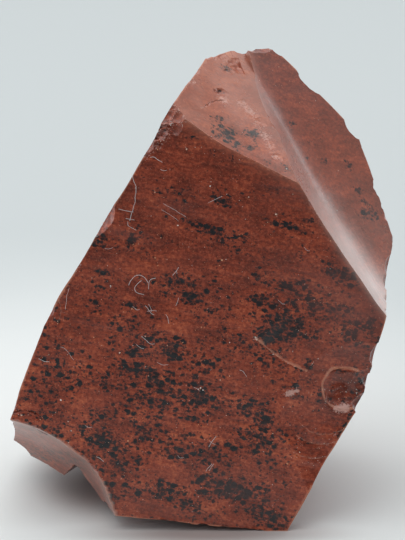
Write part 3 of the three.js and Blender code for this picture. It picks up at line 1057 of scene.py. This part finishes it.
def dust():
    """Mineral dust: pale grains that are whiter here and more orange there."""
    finish = Finish(bpy.data.materials.new("dust"))
    mottle = finish.noise(finish.place(), 1.7)
    colour = finish.mixed(finish.rise(mottle, 0.4, 0.6), WHITE_DUST, ORANGE_DUST)
    return finish.principled({"Base Color": colour, "Roughness": mottle * 0.2 + 0.5})


# Painted light: the sheet is painted whiter round its middle, as a pool of light, and greyer
# further off. Its painted shadows by the foot of the stone, tinted red like light thrown off the
# stone, have a middle, radii and a strength.
SHEET_PAINTED_LIGHT_MIDDLE = (-24.0, -12.0, 0.0)
SHEET_PAINTED_LIT = (0.760, 0.790, 0.790)
SHEET_PAINTED_DIM = (0.535, 0.575, 0.585)
# Painted shadows under the front edge and under the scoop.
PAINTED_SHADOWS = [
    ((1.0, -19.6, 0.0), (17.0, 3.4, 4.0), 0.85), ((-13.0, -5.5, 0.0), (8.0, 7.5, 4.0), 0.85),
]
# The painted shadows' reddish colour.
PAINTED_SHADOW_RED = (0.250, 0.185, 0.175)


def sheet_of_paper():
    """The pale sheet that the stone stands on, with painted light and shade: painted whiter round
    the stone and greyer further off, with reddish painted shadows by the stone's foot."""
    finish = Finish(bpy.data.materials.new("sheet"))
    place = finish.place()
    mottle = finish.noise(place, 60.0)
    # Painted light: whiter round the middle, greyer further off.
    share = finish.rise(finish.distance(place, SHEET_PAINTED_LIGHT_MIDDLE) + mottle * 20.0, 45.0, 125.0)
    colour = finish.mixed(share, SHEET_PAINTED_LIT, SHEET_PAINTED_DIM)
    # Painted shadow: the sheet is darkened and reddened round each middle.
    for middle, radii, strength in PAINTED_SHADOWS:
        off = finish.distance(place, middle, radii) + mottle * 0.3
        near = 1.0 - finish.rise(off, 0.4, 1.5)
        colour = finish.mixed(near * strength, colour, PAINTED_SHADOW_RED)
    return finish.principled({"Base Color": colour, "Roughness": mottle * 0.1 + 0.75})


# ------------------------------------------------------------------------------------------
# The stone
# ------------------------------------------------------------------------------------------


def add_piece(name, mesh, finish):
    """Puts a finished mesh, in metres, into the scene under this name."""
    piece = bpy.data.objects.new(name, mesh)
    bpy.context.collection.objects.link(piece)
    mesh.materials.clear()
    mesh.materials.append(finish)
    mesh.polygons.foreach_set("material_index", np.zeros(len(mesh.polygons), "i4"))
    return piece


def stone_marks(places, chips):
    """What varies over the stone, at each place: how dense the black specks are, how bright the
    glass is, with painted shade inside the right chip, and how strong the painted grey haze, the
    tan veil, the painted silver bloom, the pale worn edges with their painted highlight and the
    powder are. All of it follows from how near a place is to each scar, and from the tables above."""
    outside = scar_faces(places)
    z = places[:, 2]
    front = near_scar(outside, "front face", 1.5)
    away = 1 - front
    facet = near_scar(outside, "sloping top face", 0.6)
    trough = near_scar(outside, "long trough", 0.6)
    scoop = near_scar(outside, "scoop under the left corner", 0.6)
    light = np.maximum(facet, trough)
    height = np.clip((z - 20) / 30, 0, 1)
    upper = smooth_rise(z, 48, 53)
    # How much painted grey haze the trough takes, more towards its top, where its tan veil fades.
    trough_painted_haze = 0.2 + 0.5 * smooth_rise(z, 44, 54)

    run, rise = along_flow(places)
    drift = undulation(run / 2.2, rise + places[:, 1] * 0.3, 5, 41)
    patches = undulation(run / 3, rise + places[:, 1] * 0.5, 17, 43)
    specks = 0.40 + 0.14 * drift + away * (0.10 * drift + 0.16 * patches - 0.10)
    specks += front * (clouds(places, FRONT_CLOUDS) - clouds(places, FRONT_BARE) - 0.36 * height)
    specks -= 0.45 * light
    specks += facet * dots(places, TOP_SPECKS) + trough * dots(places, TROUGH_SPECKS)

    # The tone varies with the scar, and its last term is painted shade inside the right chip.
    tone_and_painted_shade = 0.07 * facet - 0.04 * trough - 0.05 * front * height - dots(places, PAINTED_CHIP_SHADE)
    tone_and_painted_shade -= 0.075 * away * (1 - np.maximum(light, scoop))
    hackly = np.abs(off_scar(outside, "crushed corner")) < 0.35
    return {
        "specks": np.clip(specks, 0.0, 1.2),
        "tone_and_painted_shade": tone_and_painted_shade,
        "painted_haze": np.clip(front * clouds(places, FRONT_PAINTED_HAZE) + trough * trough_painted_haze, 0, 1),
        "tan": facet * (0.3 + 0.3 * upper) + 0.3 * trough * (1 - trough_painted_haze),
        "painted_bloom": np.clip(painted_bloom(places, outside), 0, 1),
        "edge": edge_wear_and_highlight(outside, places, chips),
        "crushed": np.clip(0.5 * hackly + dots(places, POWDER), 0, 1.4),
    }


# An edge sharper than this, in degrees, is shaded sharp.
SHARP_ANGLE = 24


def add_stone():
    """The stone with its marks, which its finish reads."""
    mesh, chips = stone_mesh()
    places = mesh_table(mesh.vertices, "co", 3)
    for name, values in stone_marks(places, chips).items():
        store = mesh.attributes.new(name, "FLOAT", "POINT")
        store.data.foreach_set("value", values.astype("f4"))
    mesh.vertices.foreach_set("co", (places * MM).astype("f4").ravel())
    mesh.shade_smooth()
    mesh.set_sharp_from_angle(angle=np.radians(SHARP_ANGLE))
    return add_piece("obsidian_stone", mesh, obsidian())


stone = add_stone()
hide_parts("stone")
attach(stone, "root")

# ------------------------------------------------------------------------------------------
# Lint and dust
# ------------------------------------------------------------------------------------------

# Lint on the front face: a fibre's radius and its path as (x, z).
FIBRES = [
    (0.0255, ((-6.6, 48.2), (-6.1, 48.3), (-5.6, 47.9), (-5.1, 47.6))),
    (0.021, ((-5.3, 46.7), (-4.9, 46.5), (-4.5, 46.6))),
    (0.027, ((-9.0, 46.2), (-8.7, 45.2), (-8.3, 44.3), (-8.5, 43.3), (-8.6, 42.4), (-9.0, 41.3),
             (-9.2, 40.2))),
    (0.024, ((-10.7, 41.7), (-9.9, 41.5), (-8.7, 41.3))),
    (0.0225, ((-9.7, 40.5), (-9.2, 40.4), (-8.6, 40.3))),
    (0.021, ((-9.5, 40.1), (-9.5, 39.6), (-9.0, 39.3), (-8.4, 39.0))),
    (0.0165, ((-4.9, 42.4), (-3.6, 41.6), (-2.1, 40.7))),
    (0.015, ((-5.2, 41.6), (-4.1, 41.0), (-3.0, 40.2))),
    (0.018, ((0.8, 42.5), (1.6, 42.9), (2.5, 43.3))),
    (0.027, ((-9.4, 32.0), (-9.0, 32.9), (-8.2, 33.4), (-7.4, 33.1), (-6.9, 32.3))),
    (0.0255, ((-7.7, 32.6), (-8.4, 32.2), (-8.7, 31.5), (-8.4, 31.0), (-7.4, 30.8))),
    (0.0255, ((-6.9, 31.5), (-6.9, 32.2), (-6.6, 32.8), (-5.9, 32.9))),
    (0.0225, ((-3.8, 33.3), (-3.4, 33.7), (-3.0, 34.3))),
    (0.0195, ((-3.3, 33.9), (-3.2, 33.5))),
    (0.021, ((-3.4, 29.4), (-3.1, 29.9), (-3.0, 30.4))),
    (0.024, ((-7.3, 29.4), (-6.9, 29.0), (-6.6, 28.4), (-6.1, 28.2))),
    (0.021, ((-7.0, 28.7), (-6.4, 28.8), (-5.8, 28.7))),
    (0.0195, ((-6.9, 29.6), (-6.6, 29.1), (-6.5, 28.6))),
    (0.0225, ((-8.9, 29.3), (-8.4, 28.8), (-8.0, 28.9))),
    (0.024, ((-4.7, 28.3), (-4.4, 27.8), (-4.3, 27.1))),
    (0.0225, ((-7.8, 25.5), (-7.2, 24.9), (-6.6, 24.4), (-6.1, 24.5))),
    (0.0195, ((-8.4, 24.4), (-7.9, 23.9), (-7.5, 23.9))),
    (0.0225, ((-21.0, 22.6), (-20.4, 22.2), (-19.6, 22.2))),
    (0.015, ((-18.2, 24.1), (-17.5, 23.8), (-17.0, 23.1), (-16.5, 22.4))),
    (0.0165, ((-17.0, 31.6), (-17.4, 30.4), (-17.5, 28.9))),
    (0.021, ((4.8, 21.1), (5.3, 20.9), (5.7, 20.2))),
    (0.018, ((-5.8, 22.1), (-5.1, 21.7), (-4.4, 21.8))),
    (0.024, ((1.8, 12.5), (1.3, 11.9), (0.8, 11.1))),
    (0.0195, ((0.9, 11.9), (1.2, 11.6), (1.7, 11.4))),
    (0.0225, ((1.5, 8.9), (1.2, 8.5), (0.9, 8.0))),
    (0.0195, ((1.2, 8.9), (0.8, 8.4), (0.5, 7.9))),
    (0.0225, ((-13.7, 9.8), (-13.2, 9.6), (-12.7, 9.2))),
    (0.0165, ((-3.2, 10.0), (-2.9, 9.6), (-2.4, 9.7))),
    (0.015, ((-12.4, 36.7), (-11.9, 36.6), (-11.4, 36.8))),
    (0.015, ((9.7, 30.1), (10.2, 29.6), (10.6, 29.6))),
    (0.015, ((-15.1, 13.9), (-14.7, 13.6), (-14.2, 13.7))),
    (0.0165, ((-1.1, 18.9), (-0.6, 18.7), (-0.3, 18.3))),
    (0.015, ((13.0, 36.9), (13.3, 36.4), (13.7, 36.4))),
]
# A fibre's spacing along its path and its number of sides, how much it wanders on the face and
# how high it lifts off it.
FIBRE_STEP = 0.12
FIBRE_SIDES = 6
FIBRE_WANDER = 0.04
FIBRE_LIFT = 0.12
# Single grains on the front face: (x, z) and the radius.
GRAINS = [
    (-2.0, 49.2, 0.11), (1.0, 44.6, 0.12), (-6.0, 43.8, 0.10), (5.9, 43.2, 0.08),
    (-6.0, 35.5, 0.10), (-8.8, 37.2, 0.08), (2.5, 35.2, 0.09), (3.0, 35.3, 0.08),
    (2.2, 34.5, 0.08), (-9.0, 29.0, 0.10), (-10.6, 23.3, 0.09), (-0.2, 18.8, 0.12),
    (0.1, 18.5, 0.09), (-0.5, 18.6, 0.08), (2.3, 19.8, 0.09), (-18.2, 17.2, 0.10),
    (11.0, 8.9, 0.12), (9.4, 41.0, 0.13), (-16.9, 13.2, 0.09), (-3.1, 39.6, 0.10),
    (-12.6, 40.0, 0.09), (-11.7, 31.9, 0.09), (-13.9, 25.3, 0.08), (-9.6, 11.9, 0.10),
    (6.8, 25.3, 0.13), (7.0, 25.0, 0.10),
]
# The scattered grains: how many, their middle radius, and the least and the most.
SCATTERED = 1500
GRAIN_RADIUS = 0.028
GRAIN_RADII = (0.016, 0.09)


def tube(path, radius, up):
    """A closed tube of this radius round a path: rings c(t) + r (side cos a + rise sin a) for
    FIBRE_SIDES angles a, and a flat end on each. Returns its points, its sides and its ends."""
    ahead = np.gradient(path, axis=0)
    ahead /= np.linalg.norm(ahead, axis=1)[:, None]
    side = np.cross(ahead, up)
    side /= np.linalg.norm(side, axis=1)[:, None]
    rise = np.cross(side, ahead)
    turn = np.linspace(0, 2 * np.pi, FIBRE_SIDES, endpoint=False)[:, None]
    rings = path[:, None] + radius * (
        side[:, None] * np.cos(turn) + rise[:, None] * np.sin(turn)
    )
    index = np.arange(len(path) * FIBRE_SIDES).reshape(len(path), FIBRE_SIDES)
    after = np.roll(index, -1, 1)
    quads = np.stack((index[:-1], index[1:], after[1:], after[:-1]), -1).reshape(-1, 4)
    return rings.reshape(-1, 3), quads, np.stack((index[0], index[-1, ::-1]))


def fibre_mesh():
    """Every fibre of FIBRES as a tube that lies on the front face and lifts off it in places."""
    n = direction(0, FRONT_LEAN)
    aside = np.cross(n, (0, 0, 1))
    tubes = []
    for number, (radius, path) in enumerate(FIBRES):
        middle = smooth_path(front_places(path), FIBRE_STEP)
        run = np.arange(len(middle)) * FIBRE_STEP
        middle = on_scar("front face", middle)
        middle += aside * FIBRE_WANDER * undulation(run, 0, 1.2, 300 + number)[:, None]
        lift = radius * 1.2 + FIBRE_LIFT * np.clip(undulation(run, 0, 2.4, 400 + number), 0, 1)
        points, *faces = tube(middle + lift[:, None] * n, radius, n)
        tubes.append((points * MM, *faces))
    mesh = joined_mesh("lint", tubes)
    mesh.shade_smooth()
    return mesh


def icosahedron():
    """The corners and the faces of an icosahedron of radius 1: its corners are the places
    (0, +-1, +-g) and the two turns of them, where g is the golden ratio."""
    golden = (1 + np.sqrt(5)) / 2
    base = np.array([(0, a, b * golden) for a in (-1, 1) for b in (-1, 1)], float)
    corners = np.concatenate((base, np.roll(base, 1, 1), np.roll(base, 2, 1)))
    corners /= np.linalg.norm(corners[0])
    shape = bmesh.new()
    for corner in corners:
        shape.verts.new(corner)
    bmesh.ops.convex_hull(shape, input=list(shape.verts))
    shape.verts.index_update()
    sides = np.array([[v.index for v in face.verts] for face in shape.faces])
    corners = np.array([v.co[:] for v in shape.verts])
    shape.free()
    return corners, sides


def grain_mesh(ground):
    """Dust grains: icosahedra whose corners are moved in and out at random and which are then
    stretched at random. GRAINS says where single ones lie on the front face, and the rest are
    scattered over the front and the upper sides of the ground."""
    rng = np.random.default_rng(61)
    placed = np.array(GRAINS)
    places = mesh_table(ground.vertices, "co", 3) / MM
    normals = mesh_table(ground.vertices, "normal", 3)
    likely = np.clip(normals[:, 2] + 0.2, 0, 1) * 0.6 + (normals[:, 1] < -0.9)
    chosen = rng.choice(len(places), SCATTERED, p=likely / likely.sum())
    spread = np.clip(rng.lognormal(np.log(GRAIN_RADIUS), 0.4, SCATTERED), *GRAIN_RADII)
    at = np.concatenate((on_scar("front face", front_places(placed[:, :2])), places[chosen]))
    radius = np.concatenate((placed[:, 2], spread))
    corners, sides = icosahedron()
    count, each = len(at), len(corners)
    stretch = rng.uniform(0.6, 1.3, (count, each, 1)) * rng.uniform(0.7, 1.4, (count, 1, 3))
    points = at[:, None] + radius[:, None, None] * corners * stretch
    faces = sides + each * np.arange(count)[:, None, None]
    return joined_mesh("dust", [(points.reshape(-1, 3) * MM, faces.reshape(-1, 3))])


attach(add_piece("lint_fibres", fibre_mesh(), lint()), "root")
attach(add_piece("dust_grains", grain_mesh(stone.data), dust()), "root")

# ------------------------------------------------------------------------------------------
# Floor, light and camera
# ------------------------------------------------------------------------------------------

# The floor's radius in metres, and how many sides its rim has.
FLOOR_RADIUS = 1.6
FLOOR_SIDES = 64


def floor_mesh():
    """A flat disc: one face whose corners are (r cos t, r sin t) for FLOOR_SIDES turns t."""
    turns = np.linspace(0, 2 * np.pi, FLOOR_SIDES, endpoint=False)
    rim = FLOOR_RADIUS * np.stack((np.cos(turns), np.sin(turns), np.zeros(FLOOR_SIDES)), 1)
    return joined_mesh("floor", [(rim, np.arange(FLOOR_SIDES)[None])])


floor = add_piece("floor", floor_mesh(), sheet_of_paper())

# The softbox's place, aim and size in metres, its power in watts, and the lights' colours.
SOFTBOX_PLACE = (-0.06, 0.12, 0.52)
SOFTBOX_AIM = (0, 0.05, 0.02)
SOFTBOX_WIDTH = 0.86
SOFTBOX_DEPTH = 0.62
SOFTBOX_POWER = 2.6
SOFTBOX_COLOUR = (1.0, 0.985, 0.965)
ROOM_COLOUR = (0.95, 0.98, 1.0)


def add_softbox():
    """One large rectangular light over the stone and a little behind it."""
    light = bpy.data.lights.new("overhead", "AREA")
    light.shape = "RECTANGLE"
    light.size, light.size_y = SOFTBOX_WIDTH, SOFTBOX_DEPTH
    light.energy = SOFTBOX_POWER
    light.color = SOFTBOX_COLOUR
    lamp = bpy.data.objects.new("overhead", light)
    bpy.context.collection.objects.link(lamp)
    lamp.location = SOFTBOX_PLACE
    ahead = Vector(SOFTBOX_AIM) - Vector(SOFTBOX_PLACE)
    lamp.rotation_euler = ahead.to_track_quat("-Z", "Y").to_euler()


def light_room():
    """A pale room: bright low down behind the stone and to its sides, most of all behind it on
    the right, and dark on the camera's side at eye level."""
    room = bpy.data.worlds.new("room")
    bpy.context.scene.world = room
    sky = Finish(room)
    around = sky.node("ShaderNodeTexCoord", {}, {}, "Generated")
    x, y, z = (sky.node("ShaderNodeSeparateXYZ", {}, {"Vector": around}, axis) for axis in "XYZ")
    behind = sky.rise(y, -0.35, 0.3)
    sides = 0.55 * sky.rise(-x, 0.2, 0.9) + 0.2 * sky.rise(x, 0.3, 0.9)
    low_right = sky.rise(x, 0.1, 0.5) * (1.0 - sky.rise(z, 0.1, 0.4)) * behind
    near_side = 0.09 + 0.5 * sky.rise(z, 0.22, 0.82)
    far_side = 1.5 - 1.1 * sky.rise(z, 0.15, 0.5)
    strength = near_side + (far_side - near_side) * behind + sides + low_right * 1.3
    glow = sky.vector("SCALE", {"Vector": ROOM_COLOUR, "Scale": strength})
    back = sky.node("ShaderNodeBackground", {}, {"Color": glow})
    sky.node("ShaderNodeOutputWorld", {}, {"Surface": back})


# The camera's place in metres, how far it looks down in degrees, and its frame and lens in mm.
CAMERA_PLACE = (0.000025, -0.3079, 0.14133)
CAMERA_DIP = 20.0
FRAME_HEIGHT = 36.0
CAMERA_LENS = 164.1


def add_camera():
    """The camera, which looks at the front face from a little above it."""
    lens = bpy.data.cameras.new("camera")
    lens.sensor_fit = "VERTICAL"
    lens.sensor_height = FRAME_HEIGHT
    lens.lens = CAMERA_LENS
    lens.clip_start = 0.01
    lens.clip_end = 10
    camera = bpy.data.objects.new("camera", lens)
    bpy.context.collection.objects.link(camera)
    camera.location = CAMERA_PLACE
    camera.rotation_euler = (np.radians(90 - CAMERA_DIP), 0, 0)
    bpy.context.scene.camera = camera
    bpy.context.scene.view_settings.view_transform = "Standard"


add_softbox()
light_room()
add_camera()
